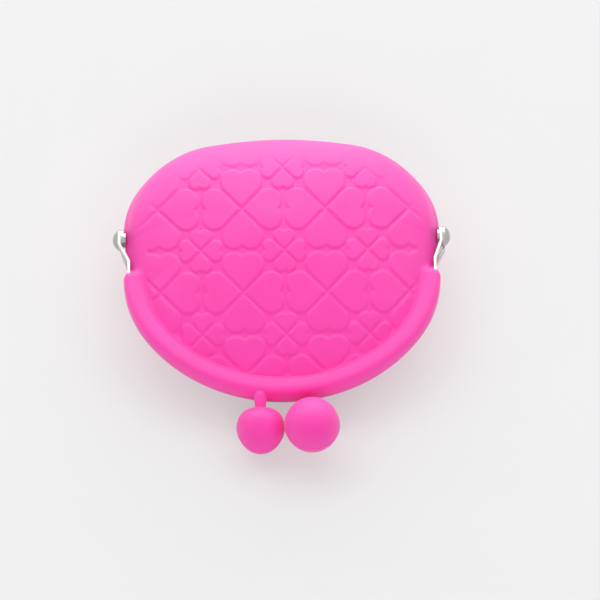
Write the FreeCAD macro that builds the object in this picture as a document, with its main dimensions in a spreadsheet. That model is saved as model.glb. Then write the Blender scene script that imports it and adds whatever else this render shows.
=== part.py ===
import FreeCAD, Part
import Sketcher
import math
import os

# Kiss-lock coin purse: a moulded silicone pouch on a riveted two-half steel frame with clasp balls.
# The purse frame has the hinge axis along X, the mouth towards -Y and the front panel towards +Z.
# The finished purse is tilted about the hinge axis until it lies on its back and on one clasp ball.

SIZES = [
    # how the purse lies
    ("axis_height", 18.8, "hinge axis above the table"),
    ("tilt_angle", 8.0, "mouth dips by this angle, in degrees"),
    # rim of the mouth, measured on its outer edge from the hinge axis
    ("rim_half_width", 49.5, "half width of the rim at its shoulders"),
    ("rim_depth", 57.9, "hinge axis to the middle of the rim"),
    ("rim_shoulder", 12.0, "hinge axis to the widest place of the rim"),
    ("rim_width", 6.6, "width of the bead, along the panel"),
    ("rim_height", 4.6, "height of one half's bead above the mid-plane"),
    ("rim_round", 2.1, "rounding of the bead's edges"),
    ("rim_end", 10.0, "hinge axis to where the bead starts"),
    ("mouth_gap", 0.3, "gap between the closed halves"),
    # pouch
    ("pouch_half_width", 49.4, "half width of the pouch"),
    ("pouch_depth", 32.3, "hinge axis to the bottom of the pouch"),
    ("pouch_shoulder", 2.5, "hinge axis to the widest place of the pouch"),
    ("dome_centre", 2.0, "crown of both panels beyond the hinge axis"),
    ("front_bulge", 19.0, "crown of the front panel above the mid-plane"),
    ("back_bulge", 20.6, "crown of the back panel before the table flattens it"),
    ("wall", 2.0, "silicone wall"),
    ("slit_end_radius", 1.2, "round end of the mouth slit at the hinge"),
    ("panel_angle", 46.0, "sector of the front panel that swings with the frame, in degrees"),
    ("flex_angle", 66.0, "sector of the silicone that bends as the mouth opens, in degrees"),
    # steel frame
    ("strip_thickness", 0.8, "frame strip, across the rim"),
    ("strip_width", 3.0, "frame strip, along the height"),
    ("strip_cover", 1.3, "silicone outside the strip"),
    ("strip_lift", 0.8, "mid-plane to the strip's near edge"),
    ("channel_clearance", 0.1, "room around the strip in its channel"),
    ("ear_radius", 3.2, "round end of the hinge ear"),
    ("ear_reach", 3.4, "hinge axis to the ear's outer bend"),
    ("joggle_length", 6.1, "length of the bend from strip to ear"),
    ("ear_clearance", 0.1, "gap between two ears, and from ear to pouch"),
    ("ear_pocket_radius", 5.8, "shallow dish in the pouch beside the ears"),
    ("ear_pocket_clearance", 0.3, "room between the dish and the inner ear"),
    # rivets
    ("rivet_radius", 1.2, "shank"),
    ("rivet_clearance", 0.05, "running clearance of the ears on the shank, on the radius"),
    ("head_radius", 3.1, "domed head"),
    ("head_height", 1.7, "domed head"),
    ("tail_radius", 2.4, "upset tail"),
    ("tail_height", 0.7, "upset tail"),
    ("tail_clearance", 0.3, "room around the tail"),
    # clasp balls
    ("post_radius", 1.4, "steel post"),
    ("post_clearance", 0.1, "room around the post in the bead"),
    ("neck_radius", 2.3, "silicone neck round the post"),
    ("ball_wall", 2.4, "silicone round the ball core"),
    ("front_ball_radius", 7.2, "ball on the front rim"),
    ("front_ball_across", -7.35, "ball on the front rim, across the mouth"),
    ("front_ball_out", 9.45, "outer edge of the rim to the ball on the front rim"),
    ("back_ball_radius", 8.3, "ball on the back rim"),
    ("back_ball_across", 8.45, "ball on the back rim, across the mouth"),
    ("back_ball_out", 10.85, "outer edge of the rim to the ball on the back rim"),
    ("back_ball_lift", 3.5, "ball on the back rim, above the mid-plane"),
    # cutting tools
    ("overrun", 5.0, "how far cutting tools run past the work"),
]

# Corner radius of each end of the plan, as a share of the end's depth beyond its shoulder.
END_CORNER_SHARES = {"rim": 0.88, "pouch": 0.96}
# Shape of both panels: at each share of the crown's height, the share of the base outline that is left.
CROWN_HEIGHT_SHARES = (0.0, 0.26, 0.53, 0.79, 0.95, 1.0)
CROWN_POUCH_SHARES = (1.0, 0.985, 0.93, 0.76, 0.48, 0.25)
CROWN_MOUTH_SHARES = (1.0, 0.88, 0.69, 0.44, 0.22, 0.10)
# Points that carry the smooth outline of a panel.
OUTLINE_POINTS = 48

FRONT = 1
BACK = -1
RIGHT = 1
LEFT = -1

doc = FreeCAD.newDocument("coin_purse")
sheet = doc.addObject("Spreadsheet::Sheet", "sizes")


def fill_sheet():
    """Write each driving size into the sheet, with its alias and its meaning."""
    for row, (alias, value, meaning) in enumerate(SIZES, start=1):
        sheet.set(f"A{row}", meaning)
        sheet.set(f"B{row}", str(value))
        sheet.setAlias(f"B{row}", alias)
    doc.recompute()


def size(alias):
    """A driving size from the sheet."""
    return float(sheet.get(alias))


def point(x, y, z=0.0):
    return FreeCAD.Vector(x, y, z)


# Plan outlines

def matching_radius(long_side, short_side, tight):
    """Radius of the arc that ends the short side, tangent to the tight arc that ends the long side."""
    return ((long_side - tight) ** 2 + short_side**2 - tight**2) / (2 * (short_side - tight))


class EndCurve:
    """One end of a plan outline: a long arc and, tangent to it, a corner arc at each side."""

    def __init__(self, name, way, inset):
        half_width = size(f"{name}_half_width")
        depth = size(f"{name}_depth")
        shoulder = size(f"{name}_shoulder")
        reach = depth - shoulder
        tight = END_CORNER_SHARES[name] * min(half_width, reach)
        if reach < half_width:
            corner = tight
            arc_radius = matching_radius(half_width, reach, tight)
        else:
            corner = matching_radius(reach, half_width, tight)
            arc_radius = tight
        self.way = way
        self.arc_radius = arc_radius - inset
        self.corner = corner - inset
        self.corner_x = half_width - corner
        self.corner_y = way * shoulder
        self.arc_y = way * (depth - arc_radius)

    def join(self, side):
        """Where the long arc meets the corner arc."""
        return self.on_corner(side, self.join_angle())

    def on_arc(self, lean):
        x = self.arc_radius * math.sin(lean)
        return point(x, self.arc_y + self.way * self.arc_radius * math.cos(lean))

    def on_corner(self, side, angle):
        x = side * (self.corner_x + self.corner * math.cos(angle))
        return point(x, self.corner_y + self.corner * math.sin(angle))

    def join_angle(self):
        """Direction of the line through both arcs' middles, towards where the arcs meet."""
        order = 1 if self.arc_radius > self.corner else -1
        return math.atan2(order * (self.corner_y - self.arc_y), order * self.corner_x)

    def long_arc(self):
        """The long arc, from left to right."""
        return Part.Arc(self.join(LEFT), self.on_arc(0.0), self.join(RIGHT))

    def corner_arc(self, side, angle):
        """The corner arc, from the long arc to the place whose normal has this angle."""
        middle = (self.join_angle() + angle) / 2
        return Part.Arc(self.join(side), self.on_corner(side, middle), self.on_corner(side, angle))


def side_angle(pouch, mouth):
    """Normal of the straight side that is tangent to both corner arcs."""
    run_x = pouch.corner_x - mouth.corner_x
    run_y = pouch.corner_y - mouth.corner_y
    spread = (mouth.corner - pouch.corner) / math.hypot(run_x, run_y)
    return math.atan2(run_y, run_x) - math.acos(spread)


def panel_outline(inset):
    """Closed base outline of a panel on the mid-plane: pouch end, mouth end and two straight sides."""
    pouch = EndCurve("pouch", 1, inset)
    mouth = EndCurve("rim", -1, inset + size("rim_width") / 2)
    angle = side_angle(pouch, mouth)
    curves = [pouch.long_arc(), mouth.long_arc()]
    for side in (LEFT, RIGHT):
        curves.append(pouch.corner_arc(side, angle))
        curves.append(Part.LineSegment(pouch.on_corner(side, angle), mouth.on_corner(side, angle)))
        curves.append(mouth.corner_arc(side, angle))
    return Part.Wire(Part.sortEdges([curve.toShape() for curve in curves])[0])


def crown_section(base_points, pouch_share, mouth_share, height):
    """The base outline drawn in towards the crown, by one share at the pouch and another at the mouth."""
    middle = point(0, size("dome_centre"))
    places = []
    for base in base_points:
        spoke = base - middle
        towards_pouch = (1 + spoke.y / spoke.Length) / 2
        share = mouth_share + (pouch_share - mouth_share) * towards_pouch
        places.append(middle + spoke * share + point(0, 0, height))
    curve = Part.BSplineCurve()
    curve.interpolate(places, PeriodicFlag=True)
    return Part.Wire(curve.toShape())


def crown(half, bulge, inset):
    """Solid from the mid-plane up to one panel's crown."""
    base_points = panel_outline(inset).discretize(Number=OUTLINE_POINTS + 1)[:-1]
    sections = []
    for height, pouch, mouth in zip(CROWN_HEIGHT_SHARES, CROWN_POUCH_SHARES, CROWN_MOUTH_SHARES):
        sections.append(crown_section(base_points, pouch, mouth, half * bulge * height))
    return Part.makeLoft(sections, True, False)


def rim_path(inset, end):
    """Line that follows the rim at an inset from its outer edge, from the right end to the left end."""
    mouth = EndCurve("rim", -1, inset)
    curves = [mouth.long_arc()]
    for side in (RIGHT, LEFT):
        shoulder = mouth.on_corner(side, 0.0)
        curves.append(mouth.corner_arc(side, 0.0))
        curves.append(Part.LineSegment(shoulder, point(shoulder.x, -end)))
    return Part.Wire(Part.sortEdges([curve.toShape() for curve in curves])[0])


def rim_sweep(section, inset, end):
    """Solid that a section at the rim's right end makes along the rim."""
    path = rim_path(inset, end)
    return path.makePipeShell([section], True, False)


# Cutting tools

def whole_reach():
    """Longer than the purse in every direction."""
    return 2 * (size("rim_depth") + size("pouch_depth"))


def sector(first, last):
    """Wedge about the hinge axis between two angles, measured from the mouth up over the front."""
    reach = whole_reach()
    steps = (first, (first + last) / 2, last)
    corners = [point(-reach, 0, 0)]
    for angle in steps:
        turn = math.radians(angle)
        corners.append(point(-reach, -reach * math.cos(turn), reach * math.sin(turn)))
    face = Part.Face(Part.makePolygon(corners + corners[:1]))
    return face.extrude(point(2 * reach, 0, 0))


def half_space_below(height):
    """Everything below a height over the table, in the purse frame."""
    reach = whole_reach()
    block = Part.makeBox(2 * reach, 2 * reach, reach, point(-reach, -reach, height - reach))
    return block.transformed(lie_down().inverse().toMatrix())


def mouth_slit():
    """Thin slab that parts the two halves from the hinge axis to beyond the rim."""
    reach = whole_reach()
    gap = size("mouth_gap")
    slab = Part.makeBox(2 * reach, reach, gap, point(-reach, -reach, -gap / 2))
    return slab.fuse(axis_cylinder(size("slit_end_radius"), -reach, reach))


def axis_cylinder(radius, start, end):
    """Cylinder on the hinge axis between two places along it."""
    return Part.makeCylinder(radius, end - start, point(start, 0, 0), point(1, 0, 0))


def lie_down():
    """Placement of the purse on the table."""
    turn = FreeCAD.Rotation(point(1, 0, 0), size("tilt_angle"))
    return FreeCAD.Placement(point(0, 0, size("axis_height")), turn)


# Steel frame

def inner_ear_place():
    """Inner face of the inner ear, from the middle of the purse."""
    return size("pouch_half_width") + size("ear_clearance")


def ear_place(outer):
    """Inner face of an ear, from the middle of the purse."""
    step = size("strip_thickness") + size("ear_clearance")
    return inner_ear_place() + (step if outer else 0)


def rivet_seat():
    """Outer face of the outer ear, where the rivet's head sits."""
    return ear_place(True) + size("strip_thickness")


def strip_section(half, clearance):
    """Cross section of the frame strip where it leaves the bead."""
    outside = size("rim_half_width") - size("strip_cover") + clearance
    inside = outside - size("strip_thickness") - 2 * clearance
    low = half * (size("strip_lift") - clearance)
    high = half * (size("strip_lift") + size("strip_width") + clearance)
    start = -(size("ear_reach") + size("joggle_length"))
    corners = [(inside, low), (outside, low), (outside, high), (inside, high)]
    points = [point(x, start, z) for x, z in corners]
    return Part.makePolygon(points + points[:1])


def strip_sweep(half, clearance):
    """The frame strip's run along the rim, or the channel that it lies in."""
    inset = size("strip_cover") + size("strip_thickness") / 2
    return rim_sweep(strip_section(half, clearance), inset, size("ear_reach") + size("joggle_length"))


def tangent_point(corner_y, corner_z, way):
    """Where the line from a corner touches the ear's round end."""
    radius = size("ear_radius")
    heading = math.atan2(corner_z, corner_y)
    swing = math.acos(radius / math.hypot(corner_y, corner_z))
    angle = heading + way * swing
    return radius * math.cos(angle), radius * math.sin(angle)


def frame_ear(half, side, outer):
    """Hinge ear of one frame half: joggle, plate and round end with its rivet hole."""
    thickness = size("strip_thickness")
    near = ear_place(outer)
    low = size("strip_lift")
    high = low + size("strip_width")
    bend = size("ear_reach")
    strip_outside = size("rim_half_width") - size("strip_cover")
    start = bend + size("joggle_length")
    joggle_corners = [
        (strip_outside - thickness, -start),
        (strip_outside, -start),
        (near + thickness, -bend),
        (near, -bend),
    ]
    joggle_points = [point(side * x, y, half * low) for x, y in joggle_corners]
    joggle = Part.Face(Part.makePolygon(joggle_points + joggle_points[:1]))
    joggle = joggle.extrude(point(0, 0, half * size("strip_width")))
    top_y, top_z = tangent_point(-bend, high, -1)
    bottom_y, bottom_z = tangent_point(-bend, low, 1)
    plate_corners = [(-bend, low), (-bend, high), (top_y, top_z), (0, 0), (bottom_y, bottom_z)]
    plate_points = [point(side * near, y, half * z) for y, z in plate_corners]
    plate = Part.Face(Part.makePolygon(plate_points + plate_points[:1]))
    plate = plate.extrude(point(side * thickness, 0, 0))
    round_end = axis_cylinder(size("ear_radius"), near, near + thickness)
    hole_radius = size("rivet_radius") + size("rivet_clearance")
    hole = axis_cylinder(hole_radius, near - size("overrun"), near + thickness + size("overrun"))
    if side == LEFT:
        round_end = round_end.mirror(point(0, 0), point(1, 0))
        hole = hole.mirror(point(0, 0), point(1, 0))
    return joggle.fuse([plate, round_end]).cut(hole).removeSplitter()


def frame_half(half):
    """One half of the frame: the strip and its two ears, the outer ear on the half's own side."""
    outer_side = LEFT if half == FRONT else RIGHT
    ears = [frame_ear(half, side, side == outer_side) for side in (LEFT, RIGHT)]
    return strip_sweep(half, 0).fuse(ears).removeSplitter()


# Silicone

def bead_section(half, clearance):
    """Cross section of the rim bead at its right end, flat towards the other half."""
    outside = size("rim_half_width") + clearance
    inside = outside - size("rim_width") - 2 * clearance
    low = size("mouth_gap") / 2 - clearance
    high = size("rim_height") + clearance
    rounding = size("rim_round")
    slack = rounding * (1 - math.sqrt(0.5))

    def corner(x, z):
        return point(x, -size("rim_end"), half * z)

    outer_arc = Part.Arc(
        corner(outside, high - rounding),
        corner(outside - slack, high - slack),
        corner(outside - rounding, high),
    )
    inner_arc = Part.Arc(
        corner(inside + rounding, high),
        corner(inside + slack, high - slack),
        corner(inside, high - rounding),
    )
    edges = [
        Part.LineSegment(corner(inside, low), corner(outside, low)),
        Part.LineSegment(corner(outside, low), corner(outside, high - rounding)),
        outer_arc,
        Part.LineSegment(corner(outside - rounding, high), corner(inside + rounding, high)),
        inner_arc,
        Part.LineSegment(corner(inside, high - rounding), corner(inside, low)),
    ]
    return Part.Wire([edge.toShape() for edge in edges])


def bead(half, clearance=0):
    """The rim bead of one half, without its channel, or the room that it needs."""
    return rim_sweep(bead_section(half, clearance), size("rim_width") / 2, size("rim_end"))


def hinge_dishes():
    """Room in the pouch's sides for the ears and for the rivets' tails."""
    far = rivet_seat() + size("overrun")
    ear_floor = inner_ear_place() - size("ear_pocket_clearance")
    tail_floor = inner_ear_place() - size("tail_height") - size("tail_clearance")
    dishes = axis_cylinder(size("ear_pocket_radius"), ear_floor, far)
    dishes = dishes.fuse(axis_cylinder(size("tail_radius") + size("tail_clearance"), tail_floor, far))
    return dishes.fuse(dishes.mirror(point(0, 0), point(1, 0)))


def pouch_shell():
    """The whole silicone wall, both panels, without the rim beads."""
    wall = size("wall")
    front, back = size("front_bulge"), size("back_bulge")
    outside = crown(FRONT, front, 0).fuse(crown(BACK, back, 0))
    inside = crown(FRONT, front - wall, wall).fuse(crown(BACK, back - wall, wall))
    outside = outside.cut(half_space_below(0))
    inside = inside.cut(half_space_below(wall))
    room = [mouth_slit(), hinge_dishes(), bead(FRONT), bead(BACK)]
    room += [strip_sweep(half, size("channel_clearance")) for half in (FRONT, BACK)]
    return outside.cut([inside] + room)


# Clasp

def clasp_centre(half):
    """Middle of a clasp ball. The front ball is as low as lets it touch the table."""
    if half == BACK:
        reach = size("rim_depth") + size("back_ball_out")
        return point(size("back_ball_across"), -reach, size("back_ball_lift"))
    reach = size("rim_depth") + size("front_ball_out")
    tilt = math.radians(size("tilt_angle"))
    over_table = size("front_ball_radius") - size("axis_height") + reach * math.sin(tilt)
    return point(size("front_ball_across"), -reach, over_table / math.cos(tilt))


def clasp_root(half):
    """Middle of the frame strip's outer face, where a clasp post is fixed to it."""
    mouth = EndCurve("rim", -1, size("strip_cover"))
    across = clasp_centre(half).x
    place = mouth.on_arc(math.asin(across / mouth.arc_radius))
    place.z = half * (size("strip_lift") + size("strip_width") / 2)
    return place


def clasp_axis(half):
    """Placement whose Z axis runs from the frame strip to the clasp ball."""
    root = clasp_root(half)
    turn = FreeCAD.Rotation(point(0, 0, 1), clasp_centre(half) - root)
    return FreeCAD.Placement(root, turn)


def add_object(kind, name, placement=None, **expressions):
    """Document object whose sizes are bound to the sheet."""
    item = doc.addObject(kind, name)
    for prop, expression in expressions.items():
        item.setExpression(prop, expression)
    if placement:
        item.Placement = placement
    return item


def add_shape(name, shape):
    item = doc.addObject("Part::Feature", name)
    item.Shape = shape
    return item


def add_cut(name, base, tools):
    """Base less its tools, as a boolean of the document."""
    tool = tools[0]
    if len(tools) > 1:
        tool = doc.addObject("Part::MultiFuse", f"{name}_tools")
        tool.Shapes = tools
    item = doc.addObject("Part::Cut", name)
    item.Base = base
    item.Tool = tool
    return item


def add_clasp(half, name, full_bead):
    """Post, ball core and ball cover of one half."""
    axis = clasp_axis(half)
    centre = FreeCAD.Placement(clasp_centre(half), FreeCAD.Rotation())
    length = clasp_centre(half).distanceToPoint(clasp_root(half))
    radius = f"sizes.{name}_ball_radius"

    def rod(suffix, rod_radius):
        item = add_object("Part::Cylinder", f"{name}_{suffix}", axis, Radius=rod_radius)
        item.Height = length
        return item

    def ball(suffix, ball_radius):
        return add_object("Part::Sphere", f"{name}_{suffix}", centre, Radius=ball_radius)

    strip = add_shape(f"{name}_strip", strip_sweep(half, 0))
    post = add_cut(f"{name}_clasp_post", rod("post_rod", "sizes.post_radius"), [strip])
    core_ball = ball("core_ball", f"{radius} - sizes.ball_wall")
    core = add_cut(f"{name}_ball_core", core_ball, [rod("core_bore", "sizes.post_radius")])
    skin = doc.addObject("Part::Fuse", f"{name}_cover_skin")
    skin.Base = ball("cover_ball", radius)
    skin.Tool = rod("neck", "sizes.neck_radius")
    hollow = ball("cover_hollow", f"{radius} - sizes.ball_wall")
    cover_bore = rod("cover_bore", "sizes.post_radius")
    other_bead = add_shape(f"{name}_other_bead", bead(-half, size("mouth_gap")))
    cover = add_cut(f"{name}_ball_cover", skin, [hollow, cover_bore, full_bead, other_bead])
    return [post, core, cover]


def add_rim(half, name):
    """Frame half, bead with its channel, and clasp of one half."""
    frame = add_shape(f"{name}_frame", frame_half(half))
    full_bead = add_shape(f"{name}_bead", bead(half))
    channel = add_shape(f"{name}_channel", strip_sweep(half, size("channel_clearance")))
    post_hole = add_object(
        "Part::Cylinder",
        f"{name}_post_hole",
        clasp_axis(half),
        Radius="sizes.post_radius + sizes.post_clearance",
    )
    post_hole.Height = clasp_centre(half).distanceToPoint(clasp_root(half))
    sleeve = add_cut(f"{name}_rim_sleeve", full_bead, [channel, post_hole])
    return [frame, sleeve] + add_clasp(half, name, full_bead)


# Rivets

def add_rivet(name, side):
    """Rivet turned about the hinge axis: upset tail, shank through both ears, domed head."""
    body = doc.addObject("PartDesign::Body", name)
    sketch = body.newObject("Sketcher::SketchObject", f"{name}_profile")
    plane = [item for item in body.Origin.OriginFeatures if item.Role == "XY_Plane"][0]
    sketch.AttachmentSupport = [(plane, "")]
    sketch.MapMode = "FlatFace"
    seat = rivet_seat()
    inner = inner_ear_place()
    tail_end = inner - size("tail_height")
    shank, tail, head = size("rivet_radius"), size("tail_radius"), size("head_radius")
    top = seat + size("head_height")
    corners = [(top, 0), (tail_end, 0), (tail_end, tail), (inner, tail)]
    corners += [(inner, shank), (seat, shank), (seat, head)]
    lines = []
    for start, end in zip(corners, corners[1:]):
        lines.append(sketch.addGeometry(Part.LineSegment(point(*start), point(*end))))
    dome_radius = (head**2 + size("head_height") ** 2) / (2 * size("head_height"))
    dome_start = math.acos((top - dome_radius - seat) / -dome_radius)
    dome_circle = Part.Circle(point(top - dome_radius, 0), point(0, 0, 1), dome_radius)
    dome = sketch.addGeometry(Part.ArcOfCircle(dome_circle, 0.0, dome_start))
    add_rivet_constraints(sketch, lines, dome)
    doc.recompute()
    turn = body.newObject("PartDesign::Revolution", f"{name}_turned")
    turn.Profile = sketch
    turn.ReferenceAxis = (sketch, ["H_Axis"])
    half_turn = FreeCAD.Rotation(point(0, 0, 1), 180)
    if side == LEFT:
        body.Placement = FreeCAD.Placement(point(0, 0), half_turn)
    return body


def add_rivet_constraints(sketch, lines, dome):
    """Tie the rivet's profile to the sheet."""
    start, end, centre = 1, 2, 3
    x_axis, origin = -1, (-1, 1)
    for before, after in zip(lines, lines[1:]):
        sketch.addConstraint(Sketcher.Constraint("Coincident", before, end, after, start))
    sketch.addConstraint(Sketcher.Constraint("Coincident", lines[-1], end, dome, end))
    sketch.addConstraint(Sketcher.Constraint("Coincident", dome, start, lines[0], start))
    sketch.addConstraint(Sketcher.Constraint("PointOnObject", dome, centre, x_axis))
    sketch.addConstraint(Sketcher.Constraint("PointOnObject", lines[0], start, x_axis))
    sketch.addConstraint(Sketcher.Constraint("PointOnObject", lines[0], end, x_axis))
    for upright in (lines[1], lines[3], lines[5]):
        sketch.addConstraint(Sketcher.Constraint("Vertical", upright))
    for level in (lines[2], lines[4]):
        sketch.addConstraint(Sketcher.Constraint("Horizontal", level))
    inner = "sizes.pouch_half_width + sizes.ear_clearance"
    stack = "2 * sizes.strip_thickness + sizes.ear_clearance"
    places = [
        ("DistanceX", lines[0], end, f"{inner} - sizes.tail_height"),
        ("DistanceX", lines[3], start, inner),
        ("DistanceX", lines[5], start, f"{inner} + {stack}"),
        ("DistanceX", lines[0], start, f"{inner} + {stack} + sizes.head_height"),
        ("DistanceY", lines[1], end, "sizes.tail_radius"),
        ("DistanceY", lines[4], start, "sizes.rivet_radius"),
        ("DistanceY", lines[5], end, "sizes.head_radius"),
    ]
    for kind, line, which, expression in places:
        value = sheet.evalExpression(expression.replace("sizes.", ""))
        index = sketch.addConstraint(Sketcher.Constraint(kind, *origin, line, which, float(value)))
        sketch.setExpression(f"Constraints[{index}]", expression)


# Assembly

def add_silicone():
    """Front panel, the band that bends, and the pouch with its back panel."""
    shell = pouch_shell()
    panel_end = size("panel_angle")
    flex_end = panel_end + size("flex_angle")
    sectors = {
        "front_panel": shell.common(sector(0, panel_end)),
        "front_flex_band": shell.common(sector(panel_end, flex_end)),
        "pouch_body": shell.cut(sector(0, panel_end)).cut(sector(panel_end, flex_end)),
    }
    return [add_shape(name, shape) for name, shape in sectors.items()]


def check_document(parts):
    """Stop if any object failed or any sub-part is empty or broken."""
    for item in doc.Objects:
        if "Invalid" in item.State or "Error" in item.State:
            raise RuntimeError(f"{item.Label} is {item.State}")
    for part in parts:
        if part.Shape.isNull() or not part.Shape.isValid():
            raise RuntimeError(f"{part.Label} has a broken shape")


def main():
    fill_sheet()
    parts = add_silicone()
    parts += add_rim(FRONT, "front")
    parts += add_rim(BACK, "back")
    parts += [add_rivet("left_rivet", LEFT), add_rivet("right_rivet", RIGHT)]
    doc.recompute()
    for part in parts:
        part.Placement = lie_down().multiply(part.Placement)
    doc.recompute()
    check_document(parts)
    os.makedirs("parts", exist_ok=True)
    for part in parts:
        solids = len(part.Shape.Solids)
        print(part.Label, "solids", solids, "volume", round(part.Shape.Volume, 2), part.Shape.BoundBox)
        part.Shape.exportStep(f"parts/{part.Label}.step")


main()
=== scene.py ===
import math

import bpy
import numpy as np
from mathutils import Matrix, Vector


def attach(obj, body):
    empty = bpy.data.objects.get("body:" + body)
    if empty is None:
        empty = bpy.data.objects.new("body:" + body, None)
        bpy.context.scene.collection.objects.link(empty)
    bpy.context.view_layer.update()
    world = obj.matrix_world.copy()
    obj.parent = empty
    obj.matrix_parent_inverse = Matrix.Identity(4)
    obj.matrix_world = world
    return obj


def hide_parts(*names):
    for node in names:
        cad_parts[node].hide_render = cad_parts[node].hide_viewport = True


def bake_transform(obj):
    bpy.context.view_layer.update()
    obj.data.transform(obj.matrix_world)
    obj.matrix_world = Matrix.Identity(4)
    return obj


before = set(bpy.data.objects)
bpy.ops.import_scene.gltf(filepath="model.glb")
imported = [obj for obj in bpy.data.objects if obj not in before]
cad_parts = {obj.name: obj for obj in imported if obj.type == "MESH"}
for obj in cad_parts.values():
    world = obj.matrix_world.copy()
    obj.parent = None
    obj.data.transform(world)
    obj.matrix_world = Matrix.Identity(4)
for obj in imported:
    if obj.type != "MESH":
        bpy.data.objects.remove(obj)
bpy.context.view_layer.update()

# Looks of a kiss-lock coin purse: one silicone moulding with a heart relief on a riveted steel frame.
# Lengths are in millimetres in the purse's own frame, as in the part's source: the hinge axis lies along X,
# the mouth is towards -Y and the front panel towards +Z. The purse is then laid on the table.

MM = 0.001
AXIS_HEIGHT = 18.8
TILT = math.radians(8.0)

# Plan outline: each end is a long arc with a corner arc at each side.
# The rim's shoulder is a little fuller than in the part's source, as the photograph shows it.
RIM_END = {"half_width": 49.5, "depth": 57.9, "shoulder": 14.5, "corner_share": 0.88}
POUCH_END = {"half_width": 49.4, "depth": 32.3, "shoulder": 2.5, "corner_share": 0.96}
MOUTH_GAP = 0.1

# Rim bead
RIM_WIDTH = 6.6
RIM_HEIGHT = 4.6
BEAD_START = 8.6
BEAD_TAPER = 7.0
BEAD_RECESS = 2.6
BEAD_POWER = 3
BACK_TUCK = 0.7

# Panels
DOME_CENTRE = np.array([0.0, 2.0])
FRONT_BULGE = 19.0
BACK_BULGE = 20.6
WALL = 2.0
CROWN_HEIGHT_SHARES = (0.0, 0.26, 0.53, 0.79, 0.95, 1.0)
CROWN_POUCH_SHARES = (1.0, 0.985, 0.93, 0.76, 0.48, 0.25)
CROWN_MOUTH_SHARES = (1.0, 0.88, 0.69, 0.44, 0.22, 0.10)
CROWN_TOP_SHARE = 1.004

# Clasp balls: a ball with no lift lies on the table, and its power says how square it is towards its neck
STRIP_COVER = 1.3
STRIP_MIDDLE = 2.3
ROUND_POWER = 2
BALLS = {
    "front": {
        "half": 1,
        "radius": 7.3,
        "across": -7.35,
        "out": 9.45,
        "lift": None,
        "widest_share": 0.15,
        "power": 2.35,
    },
    "back": {
        "half": -1,
        "radius": 8.42,
        "across": 8.45,
        "out": 10.85,
        "lift": 3.5,
        "widest_share": 0.0,
        "power": 2.2,
    },
}
NECK_RADIUS = 1.65
NECK_FLARE = 0.4
NECK_FLARE_LENGTH = 1.0
NECK_BLEND = 1.0
SEAM_DROP = 0.1
SEAM_HEIGHT = 0.20
SEAM_WIDTH = 0.30

# Heart relief
PATTERN_PERIOD = 26.0
PATTERN_COLUMN = 13.7
PATTERN_ROW = -16.8
PATTERN_TURN = math.radians(0.6)
PATTERN_VIEW = math.radians(60.0)
BIG_HEART_SIDE = 7.5
BIG_TIP_GAP = 0.7
SMALL_HEART_SIDE = 3.9
SMALL_TIP_GAP = 0.5
RELIEF_HEIGHT = 0.50
RELIEF_BEVEL = 1.0
RELIEF_BORDER = 0.2
RELIEF_FADE = 0.8
RELIEF_FACING_SHARES = (0.66, 0.80)

# Fine fit of the skins
CREASE_BLEND = 3.2
TUCK_DEPTH = 1.2
TUCK_INSET = 0.06
EDGE_LIFT = 0.25
CHEEK_SWELL = 1.1
CHEEK_HEIGHTS = (1.5, 6.5, 18.0)
CHEEK_REACHES = (-9.0, 2.0, 16.0)
TABLE_BLEND = 1.0

# Fineness of the meshes
OUTLINE_SAMPLES = 400
PROFILE_SAMPLES = 400
DIRECTIONS = 900
OUTER_RINGS = 190
INNER_RINGS = 40
BEAD_STATIONS = 520
BEAD_POINTS = 64
BALL_MERIDIANS = 240
BALL_RINGS = 110
NECK_ROOT_RINGS = 12
SMALLEST_LENGTH = 1e-9

# Finishes: two colours clouded into each other, and a fine grain in roughness and bump.
# Noise cells are counted per metre and bump distances are in metres.
CLOUD_SHARES = (0.3, 0.7)
SILICONE_FINISH = {
    "colours": ((0.98, 0.028, 0.41), (1.0, 0.034, 0.45)),
    "cloud": {"cells": 90, "detail": 3, "roughness": 0.5},
    "grain": {"cells": 4200, "detail": 4, "roughness": 0.6},
    "roughness": (0.52, 0.66),
    "bump": {"distance": 0.00005, "strength": 0.35},
    "sockets": {
        "IOR": 1.5,
        "Specular IOR Level": 1.0,
        "Subsurface Weight": 0.2,
        "Subsurface Radius": (1.0, 0.15, 0.35),
        "Subsurface Scale": 0.001,
        "Sheen Weight": 0.2,
        "Sheen Roughness": 0.45,
    },
}
STEEL_FINISH = {
    "cloud": {"cells": 600, "detail": 3, "roughness": 0.5},
    "grain": {"cells": 5000, "detail": 5, "roughness": 0.65},
    "bump": {"distance": 0.00003, "strength": 0.2},
    "sockets": {"Metallic": 1.0},
}
STEEL_DARK_SHARE = 0.86
FRAME_TINT = (0.58, 0.57, 0.55)
FRAME_ROUGHNESS = (0.24, 0.40)
RIVET_TINT = (0.50, 0.49, 0.47)
RIVET_ROUGHNESS = (0.14, 0.28)
CORE_FINISH = {
    "colours": ((0.66, 0.64, 0.60), (0.76, 0.74, 0.70)),
    "cloud": {"cells": 300, "detail": 3, "roughness": 0.5},
    "grain": {"cells": 3000, "detail": 3, "roughness": 0.5},
    "roughness": (0.25, 0.4),
    "bump": {"distance": 0.00003, "strength": 0.2},
    "sockets": {},
}

# Table: its shadow is eased towards the table's own paleness where the camera sees it
FLOOR_HALF_WIDTH = 3.0
FLOOR_COLOURS = ((0.755, 0.755, 0.757), (0.765, 0.765, 0.767))
FLOOR_CLOUD = {"cells": 40, "detail": 2, "roughness": 0.5}
FLOOR_SOCKETS = {"Roughness": 0.7, "Specular IOR Level": 0.2}
TABLE_COLOUR = (0.87, 0.87, 0.87)
TABLE_EASE_SHARE = 0.5

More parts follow.
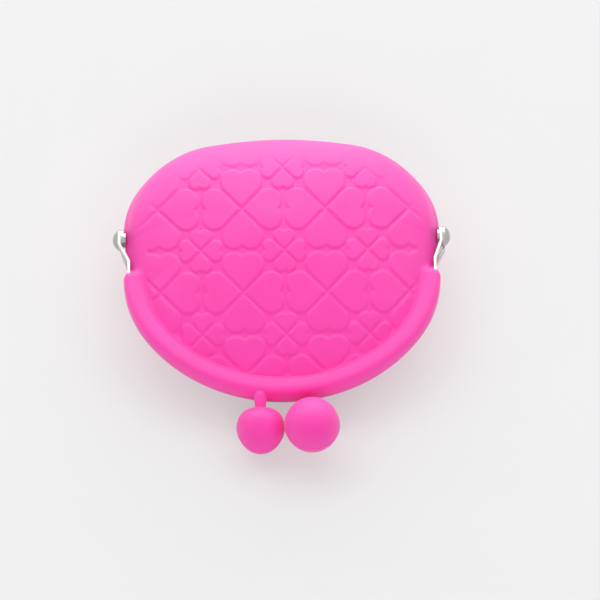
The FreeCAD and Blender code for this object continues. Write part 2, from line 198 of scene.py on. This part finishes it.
# Photograph: camera above the mouth, a little turned
PHOTO_SIZE = 600
PIXELS_PER_MM = 3.19
HINGE_PIXEL = (281.5, 238.5)
VIEW_ELEVATION = math.radians(52.0)
VIEW_TURN = math.radians(-0.9)
VIEW_DISTANCE = 1800.0
SENSOR_WIDTH = 36.0

# Light: lamps in metres and watts, all turned to the purse
WORLD_LEVEL = 0.40
BACKDROP_COLOUR = (0.9, 0.9, 0.9)
LAMP_TARGET = (0, 0, 0)
LAMPS = {
    "left_softbox": {"place": (-1.7, 0.9, 2.0), "width": 1.8, "height": 1.8, "power": 13},
    "right_softbox": {"place": (1.7, 0.9, 2.0), "width": 1.8, "height": 1.8, "power": 12},
    "back_softbox": {"place": (0.0, 1.5, 2.2), "width": 2.8, "height": 1.6, "power": 25},
    "low_back_strip": {"place": (0.0, 2.6, 0.9), "width": 3.6, "height": 1.2, "power": 42},
    "front_fill": {"place": (0.0, -2.3, 1.6), "width": 2.4, "height": 1.0, "power": 28, "mirrored": False},
}


# Shape helpers

def smooth_step(value, low, high):
    """Smooth rise from 0 at low to 1 at high."""
    share = np.clip((value - low) / (high - low), 0, 1)
    return share * share * (3 - 2 * share)


def hill(value, start, top, end):
    """Smooth rise from start to top and fall from top to end."""
    return smooth_step(value, start, top) * (1 - smooth_step(value, top, end))


def smooth_max(a, b, blend):
    """The larger of two heights, rounded over a blend length where they meet."""
    near = np.maximum(blend - np.abs(a - b), 0) / blend
    return np.maximum(a, b) + near**2 * blend / 4


def under(gap):
    """How far a skin dives below the one that covers it: nothing where they meet, more with the gap."""
    return gap**2 / (gap + 1)


def lie_down(points):
    """Purse frame in millimetres to the row frame in metres."""
    x, y, z = np.moveaxis(np.asarray(points, float), -1, 0)
    lifted = AXIS_HEIGHT + y * math.sin(TILT) + z * math.cos(TILT)
    return np.stack([x, y * math.cos(TILT) - z * math.sin(TILT), lifted], axis=-1) * MM


def rest_on_table(points):
    """Points of the row frame, those near or under the table pressed up by it."""
    points = points / MM
    points[..., 2] = smooth_max(points[..., 2], np.zeros(points.shape[:-1]), TABLE_BLEND)
    return points * MM


class EndCurve:
    """One end of the plan outline: straight side to the shoulder, corner arc, long arc over the middle."""

    def __init__(self, end, way):
        reach = end["depth"] - end["shoulder"]
        self.way = way
        self.half_width = end["half_width"]
        self.corner = end["corner_share"] * reach
        self.corner_x = self.half_width - self.corner
        self.corner_y = way * end["shoulder"]
        self.arc = (self.corner_x**2 + reach**2 - self.corner**2) / (2 * (reach - self.corner))
        self.arc_y = way * (end["depth"] - self.arc)
        self.lean = math.atan2(self.corner_x, way * (self.corner_y - self.arc_y))
        self.join = math.atan2(self.corner_y - self.arc_y, self.corner_x)

    def arc_points(self, leans, inset):
        radius = self.arc - inset
        return np.stack([radius * np.sin(leans), self.arc_y + self.way * radius * np.cos(leans)], axis=-1)

    def corner_points(self, angles, inset):
        radius = self.corner - inset
        x = self.corner_x + radius * np.cos(angles)
        return np.stack([x, self.corner_y + radius * np.sin(angles)], axis=-1)

    def inset(self, x, y):
        """Distance inwards from this end's curve, or from the straight side before its shoulder."""
        across = np.abs(x)
        beyond = self.way * (y - self.corner_y)
        on_arc = np.arctan2(across, self.way * (y - self.arc_y)) < self.lean
        from_corner = self.corner - np.hypot(across - self.corner_x, beyond)
        from_arc = self.arc - np.hypot(x, y - self.arc_y)
        curved = np.where(on_arc, from_arc, from_corner)
        return np.where(beyond > 0, curved, self.half_width - across)


RIM = EndCurve(RIM_END, -1)
POUCH = EndCurve(POUCH_END, 1)


class Outline:
    """Closed base outline of a panel, as a radius for each direction from the dome's centre."""

    def __init__(self, inset):
        mouth_inset = inset + RIM_WIDTH / 2
        run_x = POUCH.corner_x - RIM.corner_x
        run_y = POUCH.corner_y - RIM.corner_y
        spread = (RIM.corner - mouth_inset - POUCH.corner + inset) / math.hypot(run_x, run_y)
        side = math.atan2(run_y, run_x) - math.acos(spread)
        stretches = [
            POUCH.arc_points(np.linspace(0, POUCH.lean, OUTLINE_SAMPLES), inset),
            POUCH.corner_points(np.linspace(POUCH.join, side, OUTLINE_SAMPLES), inset),
            RIM.corner_points(np.linspace(side, RIM.join, OUTLINE_SAMPLES), mouth_inset),
            RIM.arc_points(np.linspace(RIM.lean, 0, OUTLINE_SAMPLES), mouth_inset),
        ]
        right = np.concatenate(stretches)
        left = right[::-1] * [-1, 1]
        self.points = np.concatenate([right, left])
        spokes = self.points - DOME_CENTRE
        angles = np.arctan2(spokes[:, 1], spokes[:, 0])
        order = np.argsort(angles)
        self.angles = angles[order]
        self.radii = np.hypot(spokes[:, 0], spokes[:, 1])[order]

    def radius(self, angles):
        return np.interp(angles, self.angles, self.radii, period=2 * math.pi)

    def even_directions(self, count):
        """Directions that divide the outline into equal lengths, from the pouch's middle round."""
        steps = np.hypot(*np.diff(self.points, axis=0, append=self.points[:1]).T)
        along = np.concatenate([[0], np.cumsum(steps)])
        closed = np.vstack([self.points, self.points[:1]])
        places = np.linspace(0, along[-1], count, endpoint=False)
        x = np.interp(places, along, closed[:, 0])
        y = np.interp(places, along, closed[:, 1])
        return np.arctan2(y - DOME_CENTRE[1], x - DOME_CENTRE[0])


def natural_spline(knots, values, at):
    """Cubic spline through values at knots."""
    steps = np.diff(knots)
    slopes = np.diff(values) / steps
    count = len(knots)
    matrix = np.eye(count)
    right = np.zeros(count)
    for i in range(1, count - 1):
        matrix[i, i - 1:i + 2] = steps[i - 1], 2 * (steps[i - 1] + steps[i]), steps[i]
        right[i] = 6 * (slopes[i] - slopes[i - 1])
    bends = np.linalg.solve(matrix, right)
    i = np.clip(np.searchsorted(knots, at) - 1, 0, count - 2)
    after = at - knots[i]
    before = knots[i + 1] - at
    curve = (bends[i] * before**3 + bends[i + 1] * after**3) / (6 * steps[i])
    curve += (values[i] / steps[i] - bends[i] * steps[i] / 6) * before
    return curve + (values[i + 1] / steps[i] - bends[i + 1] * steps[i] / 6) * after


class CrownProfile:
    """Section of a panel in even steps from its base to its crown: outline shares and height share."""

    def __init__(self, samples):
        def over_the_crown(shares, top, sign):
            return np.array(list(shares) + [top] + [sign * share for share in shares[-1:-3:-1]])

        pouch = over_the_crown(CROWN_POUCH_SHARES, 0.0, -1)
        mouth = over_the_crown(CROWN_MOUTH_SHARES, 0.0, -1)
        height = over_the_crown(CROWN_HEIGHT_SHARES, CROWN_TOP_SHARE, 1)
        reach = (POUCH_END["depth"] + RIM_END["depth"]) / 2
        run = np.hypot(np.diff(pouch + mouth) / 2 * reach, np.diff(height) * FRONT_BULGE)
        knots = np.concatenate([[0], np.cumsum(run)])
        at = np.linspace(0, knots[len(CROWN_HEIGHT_SHARES)], samples)
        self.pouch = natural_spline(knots, pouch, at)
        self.mouth = natural_spline(knots, mouth, at)
        self.height = natural_spline(knots, height, at)

    def share(self, angles):
        """Outline share at each step of the section, for each direction."""
        towards_pouch = (1 + np.sin(angles)) / 2
        return self.mouth[:, None] + (self.pouch - self.mouth)[:, None] * towards_pouch


BASE = Outline(0.0)
INNER_BASE = Outline(WALL)
FINE_PROFILE = CrownProfile(PROFILE_SAMPLES)


def panel_height(x, y):
    """Height of a smooth panel over each place of the plan, as a share of its bulge."""
    spoke_x = x - DOME_CENTRE[0]
    spoke_y = y - DOME_CENTRE[1]
    angles = np.arctan2(spoke_y, spoke_x)
    reached = np.hypot(spoke_x, spoke_y) / BASE.radius(angles)
    shares = FINE_PROFILE.share(angles)
    heights = [
        np.interp(-share, -column, FINE_PROFILE.height) for share, column in zip(reached, shares.T)
    ]
    return np.array(heights)


def bead_growth(y):
    """How far the rim bead has grown: 0 at its start beside the hinge, 1 past its taper."""
    return smooth_step(-y, BEAD_START, BEAD_START + BEAD_TAPER)


def bead_height(inset, y):
    """Top of the rim bead over the mid-plane, at an inset from the rim's outer edge."""
    middle = RIM_WIDTH / 2
    offset = np.clip(np.abs(inset - middle) / middle, 0, 1)
    low = MOUTH_GAP / 2
    return low + (RIM_HEIGHT - low) * (1 - offset**BEAD_POWER) ** (1 / BEAD_POWER) * bead_growth(y)


# Heart relief

def heart_distance(along, across, side):
    """Distance outside a heart with its tip at the origin: a square stood on its corner, and two lobes."""
    root = math.sqrt(2)
    first = (along + across) / root
    second = (along - across) / root
    half = side / 2
    square = np.maximum(np.abs(first - half), np.abs(second - half)) - half
    lobe = np.hypot(first - side, second - half) - half
    return np.minimum(square, lobe)


def clover_distance(x, v, column, row, side, tip_gap):
    """Distance outside the nearest clover of four hearts, tips together, on a square lattice."""
    half = PATTERN_PERIOD / 2
    dx = np.abs((x - column + half) % PATTERN_PERIOD - half)
    dv = np.abs((v - row + half) % PATTERN_PERIOD - half)
    return heart_distance(np.maximum(dx, dv) - tip_gap, np.minimum(dx, dv), side)


def heart_relief(points, normals, half):
    """Relief at each place of a panel: 0 on the hearts, and down to the ground between them."""
    x, y, z = np.moveaxis(points, -1, 0)
    v = y * math.sin(PATTERN_VIEW) + half * z * math.cos(PATTERN_VIEW)
    turned_x = x + v * math.tan(PATTERN_TURN)
    shift = PATTERN_PERIOD / 2
    small_column = PATTERN_COLUMN + shift
    small_row = PATTERN_ROW + shift
    big = clover_distance(turned_x, v, PATTERN_COLUMN, PATTERN_ROW, BIG_HEART_SIDE, BIG_TIP_GAP)
    small = clover_distance(turned_x, v, small_column, small_row, SMALL_HEART_SIDE, SMALL_TIP_GAP)
    edge = np.minimum(big, small)
    hearts = 1 - smooth_step(edge, -RELIEF_BEVEL / 2, RELIEF_BEVEL / 2)
    facing = half * normals[..., 2] * math.sin(PATTERN_VIEW) - normals[..., 1] * math.cos(PATTERN_VIEW)
    border = RIM_WIDTH + RELIEF_BORDER
    inside = smooth_step(RIM.inset(x, y), border, border + RELIEF_FADE)
    inside = np.where(y < 0, inside, 1) * smooth_step(facing, *RELIEF_FACING_SHARES)
    return (hearts - 1) * RELIEF_HEIGHT * inside


# Silicone skins

def ring_mesh(name, rings, first_tip, last_tip, sharp_rings=(), sharp_places=()):
    """Closed mesh from rings of equal count, with a point at each end, and sharp edges round or along it."""
    ring_count, count = rings.shape[:2]
    points = np.concatenate([rings.reshape(-1, 3), [first_tip, last_tip]])
    index = np.arange(ring_count * count).reshape(ring_count, count)
    after = np.roll(index, -1, axis=1)
    quads = np.stack([index[:-1], index[1:], after[1:], after[:-1]], axis=-1).reshape(-1, 4)
    first = np.full(count, ring_count * count)
    fan_in = np.stack([first, index[0], after[0]], axis=-1)
    fan_out = np.stack([first + 1, after[-1], index[-1]], axis=-1)
    mesh = bpy.data.meshes.new(name)
    mesh.from_pydata(points.tolist(), [], quads.tolist() + fan_in.tolist() + fan_out.tolist())
    mesh.polygons.foreach_set("use_smooth", np.ones(len(mesh.polygons), bool))
    ends = np.zeros(len(mesh.edges) * 2, np.int32)
    mesh.edges.foreach_get("vertices", ends)
    ring_of, place_of = np.divmod(ends.reshape(-1, 2), count)
    round_ring = (ring_of[:, 0] == ring_of[:, 1]) & np.isin(ring_of[:, 0], sharp_rings)
    along = (place_of[:, 0] == place_of[:, 1]) & np.isin(place_of[:, 0], sharp_places)
    on_rings = ring_of.max(axis=1) < ring_count
    mesh.attributes.new("sharp_edge", "BOOLEAN", "EDGE")
    mesh.attributes["sharp_edge"].data.foreach_set("value", (round_ring | along) & on_rings)
    mesh.update()
    piece = bpy.data.objects.new(name, mesh)
    bpy.context.scene.collection.objects.link(piece)
    return piece


def grid_normals(points, half):
    """Outward normals of a closed ring grid, rings first."""
    along = np.gradient(points, axis=0)
    round_ring = np.roll(points, -1, axis=1) - np.roll(points, 1, axis=1)
    normals = np.cross(round_ring, along)
    length = np.linalg.norm(normals, axis=-1, keepdims=True)
    normals = normals / np.maximum(length, SMALLEST_LENGTH)
    return normals * np.sign(np.sum(normals * [0, 0, half], axis=-1).mean())


def panel_rings(angles, outline, bulge, rings, half):
    """Smooth panel surface as rings from the crown to the base."""
    profile = CrownProfile(rings + 1)
    shares = profile.share(angles)[::-1][1:]
    heights = profile.height[::-1][1:]
    reach = shares * outline.radius(angles)
    x = DOME_CENTRE[0] + reach * np.cos(angles)
    y = DOME_CENTRE[1] + reach * np.sin(angles)
    z = np.broadcast_to((half * bulge * heights)[:, None], x.shape)
    return np.stack([x, y, z], axis=-1)


def swell_cheeks(points, half):
    """Silicone swelling a little over both hinge ears."""
    x, y, z = np.moveaxis(points, -1, 0)
    half_width = POUCH_END["half_width"]
    swell = CHEEK_SWELL * hill(half * z, *CHEEK_HEIGHTS) * hill(y, *CHEEK_REACHES)
    at_side = smooth_step(np.abs(x), half_width / 2, half_width)
    return np.stack([x + np.sign(x) * swell * at_side, y, z], axis=-1)


def outer_skin(angles, bulge, half):
    """Outside of one panel: smooth form, crease beside the rim bead, hearts and cheeks."""
    points = panel_rings(angles, BASE, bulge, OUTER_RINGS, half)
    x, y, z = np.moveaxis(points, -1, 0)
    height = half * z
    bead = np.where(y < 0, bead_height(RIM.inset(x, y), y), 0)
    rounded = smooth_max(height, bead, CREASE_BLEND) - under(np.maximum(bead - height, 0))
    points = np.stack([x, y, half * (height + (rounded - height) * bead_growth(y))], axis=-1)
    normals = grid_normals(points, half)
    points = points + normals * heart_relief(points, normals, half)[..., None]
    return swell_cheeks(points, half)


def panel_piece(name, half, bulge):
    """One panel as a closed skin: outside, edge near the mid-plane, inside.

    The front panel's edge goes on into a tongue inside the pouch's wall, and the back panel is pressed
    flat by the table. Along the mouth the edge hides inside the rim bead.
    """
    angles = BASE.even_directions(DIRECTIONS)
    outer = outer_skin(angles, bulge, half)
    inner = panel_rings(angles, INNER_BASE, bulge - WALL, INNER_RINGS, half)[::-1].copy()
    edge_y = outer[-1, :, 1]
    in_mouth = 1 - smooth_step(edge_y, -MOUTH_GAP, MOUTH_GAP)
    lowest = half * in_mouth * (MOUTH_GAP / 2 + EDGE_LIFT * bead_growth(edge_y))
    for ring in (outer[-1], inner[0]):
        ring[:, 2] = lowest
    rings = [outer, inner]
    sharp = [len(outer) - 1, len(outer)]
    if half > 0:
        radial = np.stack([np.cos(angles), np.sin(angles)], axis=-1) * (1 - in_mouth)[:, None]
        tongue = []
        for edge, way in ((outer[-1], -1), (inner[0], 1)):
            ring = edge.copy()
            ring[:, :2] += way * TUCK_INSET * radial
            ring[:, 2] -= TUCK_DEPTH * (1 - in_mouth)
            tongue.append(ring)
        rings = [outer, np.array(tongue), inner]
        sharp = [len(outer), len(outer) + 1]
    rings = lie_down(np.concatenate(rings))
    if half < 0:
        outside = rest_on_table(rings[:len(outer)])
        inside = rings[len(outer):]
        inside[..., 2] = np.maximum(inside[..., 2], WALL * MM)
        rings = np.concatenate([outside, inside])
    crown = rings[0].mean(axis=0)
    inner_crown = rings[-1].mean(axis=0)
    return ring_mesh(name, rings, crown, inner_crown, sharp)


def rim_stations(count):
    """Places on the rim's outer edge and their outward directions, from the right end to the left end."""
    straight = RIM_END["shoulder"] - BEAD_START
    corner = -RIM.corner * RIM.join
    half_length = straight + corner + RIM.arc * RIM.lean
    places = np.linspace(-half_length, half_length, count)
    from_middle = np.abs(places)
    from_end = half_length - from_middle
    lean = np.clip(from_middle / RIM.arc, 0, RIM.lean)
    turn = -np.clip((from_end - straight) / RIM.corner, 0, -RIM.join)
    on_arc = from_end > straight + corner
    edge = np.where(on_arc[:, None], RIM.arc_points(lean, 0), RIM.corner_points(turn, 0))
    edge[:, 1] = np.where(from_end < straight, -BEAD_START - from_end, edge[:, 1])
    heading = np.where(on_arc, lean - math.pi / 2, turn)
    outward = np.stack([np.cos(heading), np.sin(heading)], axis=-1)
    mirror = np.stack([np.where(places < 0, 1.0, -1.0), np.ones(count)], axis=-1)
    return edge * mirror, outward * mirror


def bead_piece(name, half, bulge):
    """Rim bead of one half: outer side, rounded top, soft toe under the panel and flat mating face."""
    edge, outward = rim_stations(BEAD_STATIONS)
    turn = np.linspace(0, math.pi, BEAD_POINTS)
    insets = RIM_WIDTH / 2 * (1 - np.cos(turn))
    tuck = 0 if half > 0 else BACK_TUCK
    mating = np.full(BEAD_POINTS - 2, half * MOUTH_GAP / 2)
    sections = []
    for station, normal in zip(edge, outward):
        recess = BEAD_RECESS + (tuck - BEAD_RECESS) * bead_growth(station[1])
        plan = station - (recess + insets * (1 - recess / RIM_WIDTH))[:, None] * normal
        bead = bead_height(insets, plan[:, 1])
        panel = panel_height(plan[:, 0], plan[:, 1]) * bulge
        top = smooth_max(bead, panel, CREASE_BLEND) - under(np.maximum(panel - bead, 0))
        top = np.where(insets < RIM_WIDTH / 2, bead, top)
        upper = np.column_stack([plan, half * top])
        lower = np.column_stack([plan[-2:0:-1], mating])
        sections.append(np.vstack([upper, lower]))
    rings = lie_down(sections)
    first = rings[0].mean(axis=0)
    last = rings[-1].mean(axis=0)
    return ring_mesh(name, rings, first, last, sharp_places=(0, BEAD_POINTS - 1))


def ball_centre(ball):
    """Middle of a clasp ball: where its lift puts it or, with no lift, touching the table."""
    reach = RIM_END["depth"] + ball["out"]
    lift = ball["lift"]
    if lift is None:
        lift = (ball["radius"] - AXIS_HEIGHT + reach * math.sin(TILT)) / math.cos(TILT)
    return np.array([ball["across"], -reach, lift])


def ball_root(ball):
    """Foot of a clasp ball's post, on the middle of its frame strip."""
    across = ball["across"]
    root_y = RIM.arc_y - math.sqrt((RIM.arc - STRIP_COVER)**2 - across**2)
    return np.array([across, root_y, ball["half"] * STRIP_MIDDLE])


def ball_profile(ball, along, length):
    """Radius at each place along a ball cover's axis: ball, waisted neck and flare into the bead."""
    radius = ball["radius"]
    widest = ball["widest_share"]
    past = (along - length) / radius + widest
    reached = np.where(past < 0, -past / (1 - widest), past / (1 + widest))
    power = np.where(past < 0, ball["power"], ROUND_POWER)
    on_ball = radius * (1 - np.clip(reached, 0, 1) ** power) ** (1 / power)
    flare = NECK_FLARE * np.exp(-((along - STRIP_COVER) / NECK_FLARE_LENGTH) ** 2)
    with_neck = smooth_max(on_ball, NECK_RADIUS + flare, NECK_BLEND)
    return np.where(along > length, on_ball, with_neck)


def ball_piece(name, ball):
    """Silicone over a clasp ball and its post, with a mould seam round the ball."""
    centre = ball_centre(ball)
    root = ball_root(ball)
    radius = ball["radius"]
    axis = centre - root
    length = np.linalg.norm(axis)
    axis = axis / length
    side = np.cross(axis, [0, 0, 1])
    side = side / np.linalg.norm(side)
    up = np.cross(side, axis)
    polar = np.linspace(0, math.pi, BALL_RINGS + 1)[1:]
    along = length + radius * np.cos(polar)
    in_bead = np.linspace(STRIP_COVER, 0, NECK_ROOT_RINGS)
    along = np.concatenate([along[along > STRIP_COVER], in_bead])
    profile = ball_profile(ball, along, length)
    turn = np.linspace(0, 2 * math.pi, BALL_MERIDIANS, endpoint=False)
    spokes = np.cos(turn)[:, None] * side + np.sin(turn)[:, None] * up
    rings = root + along[:, None, None] * axis + profile[:, None, None] * spokes
    from_seam = rings[..., 2] - centre[2] + SEAM_DROP
    ridge = SEAM_HEIGHT * np.exp(-((from_seam / SEAM_WIDTH) ** 2))
    outwards = rings - centre
    outwards = outwards / np.linalg.norm(outwards, axis=-1, keepdims=True)
    on_ball = smooth_step(along, length - radius, length - radius / 2)[:, None]
    rings = rings + outwards * (ridge * on_ball)[..., None]
    tip = root + axis * (length + radius)
    rings = lie_down(rings)
    rings[..., 2] = np.maximum(rings[..., 2], 0)
    return ring_mesh(name, rings, lie_down(tip), lie_down(root))


# Materials

def new_material(name):
    material = bpy.data.materials.new(name)
    material.use_nodes = True
    return material, material.node_tree.nodes, material.node_tree.links


def noise(nodes, links, cells, detail, roughness):
    """Noise from 0 to 1 over the object's own coordinates."""
    place = nodes.new("ShaderNodeTexCoord")
    texture = nodes.new("ShaderNodeTexNoise")
    texture.inputs["Scale"].default_value = cells
    texture.inputs["Detail"].default_value = detail
    texture.inputs["Roughness"].default_value = roughness
    links.new(place.outputs["Object"], texture.inputs["Vector"])
    return texture.outputs["Fac"]


def spread(nodes, links, source, low, high):
    """A source value from 0 to 1 mapped between two numbers."""
    mapped = nodes.new("ShaderNodeMapRange")
    mapped.inputs["To Min"].default_value = low
    mapped.inputs["To Max"].default_value = high
    links.new(source, mapped.inputs["Value"])
    return mapped.outputs["Result"]


def bump(nodes, links, source, distance, strength):
    """Normal bent by a source value taken as a height."""
    made = nodes.new("ShaderNodeBump")
    made.inputs["Distance"].default_value = distance
    made.inputs["Strength"].default_value = strength
    links.new(source, made.inputs["Height"])
    return made.outputs["Normal"]


def cloud_colour(nodes, links, shader, colours, cloud):
    """Base colour that drifts between two colours."""
    blend = nodes.new("ShaderNodeValToRGB")
    for element, position, colour in zip(blend.color_ramp.elements, CLOUD_SHARES, colours):
        element.position = position
        element.color = (*colour, 1)
    links.new(noise(nodes, links, **cloud), blend.inputs["Fac"])
    links.new(blend.outputs["Color"], shader.inputs["Base Color"])


def set_sockets(shader, sockets):
    for socket, value in sockets.items():
        shader.inputs[socket].default_value = value


def finished_material(name, finish):
    """Material with a clouded colour, and a fine grain in its roughness and bump."""
    material, nodes, links = new_material(name)
    shader = nodes["Principled BSDF"]
    set_sockets(shader, finish["sockets"])
    cloud_colour(nodes, links, shader, finish["colours"], finish["cloud"])
    grain = noise(nodes, links, **finish["grain"])
    links.new(spread(nodes, links, grain, *finish["roughness"]), shader.inputs["Roughness"])
    links.new(bump(nodes, links, grain, **finish["bump"]), shader.inputs["Normal"])
    return material


def steel_material(name, tint, roughness):
    """Nickel-plated steel: slightly warm, with soft clouding and fine rub marks."""
    dark = tuple(STEEL_DARK_SHARE * value for value in tint)
    return finished_material(name, {**STEEL_FINISH, "colours": (dark, tint), "roughness": roughness})


def paint(piece, material):
    piece.data.materials.clear()
    piece.data.materials.append(material)


# Purse

def dress_purse():
    """Silicone skins on their bodies, and materials for the steel and the cores."""
    silicone = finished_material("silicone_pink", SILICONE_FINISH)
    frame_steel = steel_material("frame_nickel", FRAME_TINT, FRAME_ROUGHNESS)
    rivet_steel = steel_material("rivet_nickel", RIVET_TINT, RIVET_ROUGHNESS)
    plastic = finished_material("core_plastic", CORE_FINISH)

    front = panel_piece("front_skin", 1, FRONT_BULGE)
    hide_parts("front_panel", "front_flex_band")
    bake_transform(front)
    back = panel_piece("pouch_skin", -1, BACK_BULGE)
    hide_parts("pouch_body")
    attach(back, "back_half")
    pieces = [front, back]
    for side, half, bulge in (("front", 1, FRONT_BULGE), ("back", -1, BACK_BULGE)):
        bead = bead_piece(f"{side}_rim_skin", half, bulge)
        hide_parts(f"{side}_rim_sleeve")
        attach(bead, f"{side}_half")
        ball = ball_piece(f"{side}_ball_skin", BALLS[side])
        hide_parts(f"{side}_ball_cover")
        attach(ball, f"{side}_half")
        pieces += [bead, ball]
        for node in (f"{side}_frame", f"{side}_clasp_post"):
            paint(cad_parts[node], frame_steel)
        paint(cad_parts[f"{side}_ball_core"], plastic)
    for node in ("left_rivet", "right_rivet"):
        paint(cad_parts[node], rivet_steel)
    for piece in pieces:
        paint(piece, silicone)


# Stage

def seen_rays(nodes, links):
    """1 for the rays that show the stage itself: to the camera, straight or by way of metal or glass."""
    rays = nodes.new("ShaderNodeLightPath")
    seen = rays.outputs["Is Camera Ray"]
    for kind in ("Is Glossy Ray", "Is Transmission Ray"):
        either = nodes.new("ShaderNodeMath")
        either.operation = "MAXIMUM"
        links.new(seen, either.inputs[0])
        links.new(rays.outputs[kind], either.inputs[1])
        seen = either.outputs[0]
    return seen


def mix_shaders(nodes, links, share, first, second, output):
    """Surface of an output: the first shader at a share of 0, the second at 1."""
    choice = nodes.new("ShaderNodeMixShader")
    links.new(share, choice.inputs["Fac"])
    links.new(first, choice.inputs[1])
    links.new(second, choice.inputs[2])
    links.new(choice.outputs["Shader"], output.inputs["Surface"])


def table_material():
    """Pale matt table that takes the purse's shadow, eased where it is seen."""
    material, nodes, links = new_material("pale_table")
    shader = nodes["Principled BSDF"]
    set_sockets(shader, FLOOR_SOCKETS)
    cloud_colour(nodes, links, shader, FLOOR_COLOURS, FLOOR_CLOUD)
    pale = nodes.new("ShaderNodeEmission")
    pale.inputs["Color"].default_value = (*TABLE_COLOUR, 1)
    eased = nodes.new("ShaderNodeMath")
    eased.operation = "MULTIPLY"
    eased.inputs[1].default_value = TABLE_EASE_SHARE
    links.new(seen_rays(nodes, links), eased.inputs[0])
    lit = shader.outputs["BSDF"]
    mix_shaders(nodes, links, eased.outputs[0], lit, pale.outputs["Emission"], nodes["Material Output"])
    return material


def add_floor():
    half = FLOOR_HALF_WIDTH
    corners = [(-half, -half, 0), (half, -half, 0), (half, half, 0), (-half, half, 0)]
    mesh = bpy.data.meshes.new("floor")
    mesh.from_pydata(corners, [], [(0, 1, 2, 3)])
    floor = bpy.data.objects.new("floor", mesh)
    bpy.context.scene.collection.objects.link(floor)
    paint(floor, table_material())


def add_light(name, place, width, height, power, mirrored=True):
    """Area lamp turned to the purse; one that isn't mirrored makes no highlights."""
    light = bpy.data.lights.new(name, "AREA")
    light.shape = "RECTANGLE"
    light.size = width
    light.size_y = height
    light.energy = power
    lamp = bpy.data.objects.new(name, light)
    lamp.location = place
    lamp.rotation_euler = (Vector(LAMP_TARGET) - Vector(place)).to_track_quat("-Z", "Y").to_euler()
    lamp.visible_camera = False
    lamp.visible_glossy = mirrored
    bpy.context.scene.collection.objects.link(lamp)


def add_world():
    """Soft white light from all round, with a pale backdrop where the world itself is seen."""
    world = bpy.data.worlds.new("studio")
    world.use_nodes = True
    nodes = world.node_tree.nodes
    links = world.node_tree.links
    lighting = nodes["Background"]
    lighting.inputs["Color"].default_value = (1, 1, 1, 1)
    lighting.inputs["Strength"].default_value = WORLD_LEVEL
    backdrop = nodes.new("ShaderNodeBackground")
    backdrop.inputs["Color"].default_value = (*BACKDROP_COLOUR, 1)
    seen = seen_rays(nodes, links)
    lit = lighting.outputs["Background"]
    mix_shaders(nodes, links, seen, lit, backdrop.outputs["Background"], nodes["World Output"])
    bpy.context.scene.world = world


def add_camera():
    """Camera whose picture puts the hinge's middle on its pixel of the photograph."""
    forward = Vector((0, math.cos(VIEW_ELEVATION), -math.sin(VIEW_ELEVATION)))
    turned = forward.copy()
    turned.x = forward.y * math.sin(-VIEW_TURN)
    turned.y = forward.y * math.cos(VIEW_TURN)
    right = turned.cross(Vector((0, 0, 1))).normalized()
    up = right.cross(turned)
    middle = PHOTO_SIZE / 2
    off_right = (middle - HINGE_PIXEL[0]) / PIXELS_PER_MM
    off_up = (HINGE_PIXEL[1] - middle) / PIXELS_PER_MM
    target = Vector((0, 0, AXIS_HEIGHT)) + right * off_right + up * off_up
    data = bpy.data.cameras.new("camera")
    data.sensor_width = SENSOR_WIDTH
    data.lens = SENSOR_WIDTH * VIEW_DISTANCE * PIXELS_PER_MM / PHOTO_SIZE
    camera = bpy.data.objects.new("camera", data)
    camera.location = (target - turned * VIEW_DISTANCE) * MM
    camera.rotation_euler = turned.to_track_quat("-Z", "Y").to_euler()
    bpy.context.scene.collection.objects.link(camera)
    bpy.context.scene.camera = camera


dress_purse()
add_floor()
add_world()
for lamp_name, lamp_values in LAMPS.items():
    add_light(lamp_name, **lamp_values)
add_camera()
bpy.context.scene.view_settings.view_transform = "Standard"
